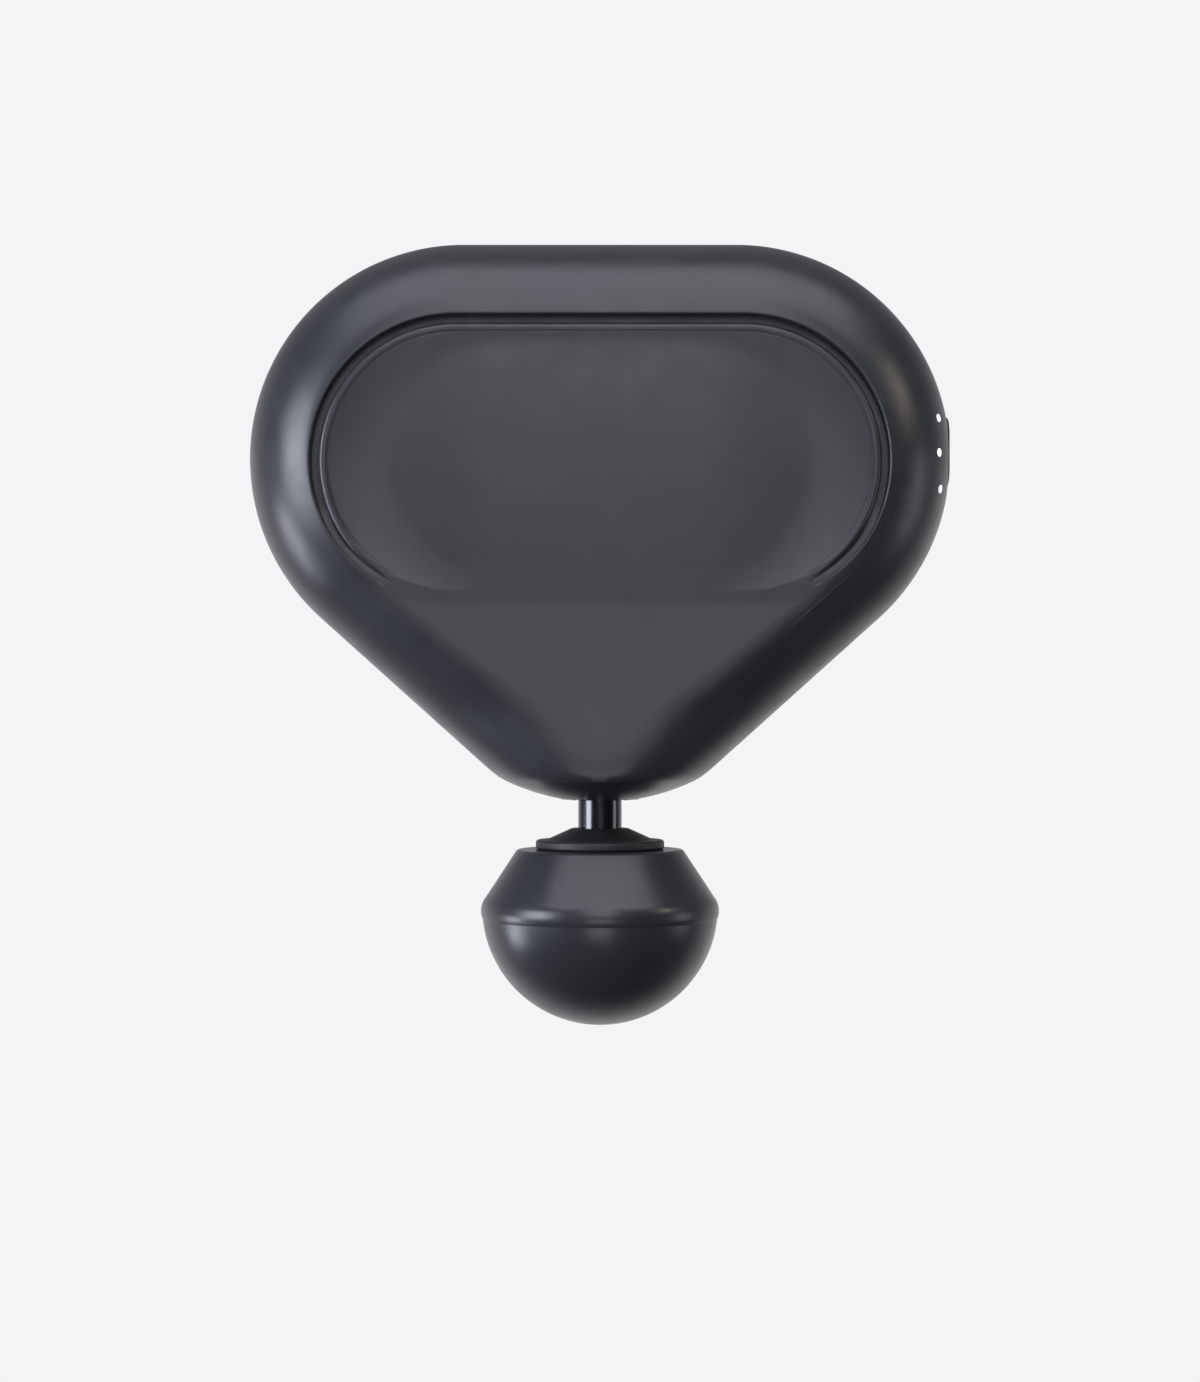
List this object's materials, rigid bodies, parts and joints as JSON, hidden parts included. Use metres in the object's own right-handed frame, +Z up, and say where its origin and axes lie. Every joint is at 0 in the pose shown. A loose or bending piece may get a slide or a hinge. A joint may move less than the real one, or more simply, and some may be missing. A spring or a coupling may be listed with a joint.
{
  "type": "massage gun",
  "caption": "Palm-size percussive massage gun with a rounded triangular grip body, three indicator lamps, a side button and a ball attachment on a sliding plunger.",
  "frame": {"origin": "middle of the grip body, on the plane where the front and rear housing halves meet", "axes": "+Z up, away from the ball attachment; front with the control panel faces -Y; button on the +X side"},
  "size_m": [0.1343, 0.046, 0.15],
  "materials": {
    "soft_black": "satin",
    "rubber_black": "satin",
    "steel": "satin",
    "frame_plastic": "satin",
    "white_plastic": "satin",
    "motor_steel": "satin",
    "copper_winding": "satin",
    "polished_steel": "satin",
    "bronze": "satin",
    "foam_black": "satin",
    "cell_wrap": "satin",
    "circuit_green": "satin",
    "component_black": "satin",
    "lamp_white": "satin",
    "lead_insulation": "satin"
  },
  "bodies": {
    "housing": {"front_shell": "soft_black", "rear_shell": "soft_black", "screw_plugs": "rubber_black", "seam_gasket": "rubber_black", "front_panel": "soft_black", "rear_pad": "rubber_black", "nose_seal": "rubber_black", "housing_screws": "steel", "chassis": "frame_plastic", "guide_rails": "white_plastic", "chassis_dampers": "rubber_black", "chassis_screws": "steel", "motor_can": "motor_steel", "motor_stator": "copper_winding", "motor_bearings": "steel", "motor_screws": "steel", "shaft_bushing": "bronze", "stroke_bumper": "rubber_black", "cell_left": "cell_wrap", "cell_right": "cell_wrap", "cell_top": "cell_wrap", "battery_frame": "frame_plastic", "cell_tabs": "steel", "main_board": "circuit_green", "board_parts": "component_black", "board_screws": "steel", "side_board": "circuit_green", "power_switch": "component_black", "light_pipe_high": "lamp_white", "light_pipe_mid": "lamp_white", "light_pipe_low": "lamp_white", "lamp_board": "circuit_green", "indicator_leds": "white_plastic", "charge_board": "circuit_green", "charge_port": "steel", "port_tongue": "component_black", "motor_leads": "lead_insulation", "battery_leads": "lead_insulation"},
    "crank": {"motor_shaft": "steel", "motor_rotor": "motor_steel", "crank_disc": "steel", "crank_pin": "steel", "crank_roller": "steel", "pin_clip": "steel"},
    "plunger": {"yoke": "frame_plastic", "yoke_pin": "steel", "plunger_rod": "polished_steel", "snap_ring": "rubber_black"},
    "attachment": {"ball_cover": "foam_black", "ball_core": "frame_plastic", "ball_socket": "steel", "ball_collar": "rubber_black"},
    "button": {"power_button": "soft_black"}
  },
  "joints": [
    {"name": "crank_turn", "type": "hinge", "parent": "housing", "child": "crank", "pos_m": [0, 0, -0.008], "axis": [0, 1, 0], "range_deg": [0, 180]},
    {"name": "plunger_stroke", "type": "slide", "parent": "housing", "child": "plunger", "axis": [0, 0, -1], "range_m": [0, 0.012]},
    {"name": "attachment_pull", "type": "slide", "parent": "plunger", "child": "attachment", "axis": [0, 0, -1], "range_m": [0, 0.018]},
    {"name": "power_press", "type": "slide", "parent": "housing", "child": "button", "axis": [-1, 0, 0], "range_m": [0, 0.0006], "stiffness_N_per_m": 300}
  ],
  "couplings": [
    {"joint": "crank_turn", "follows": "plunger_stroke", "rad_per_m": 261.8}
  ]
}
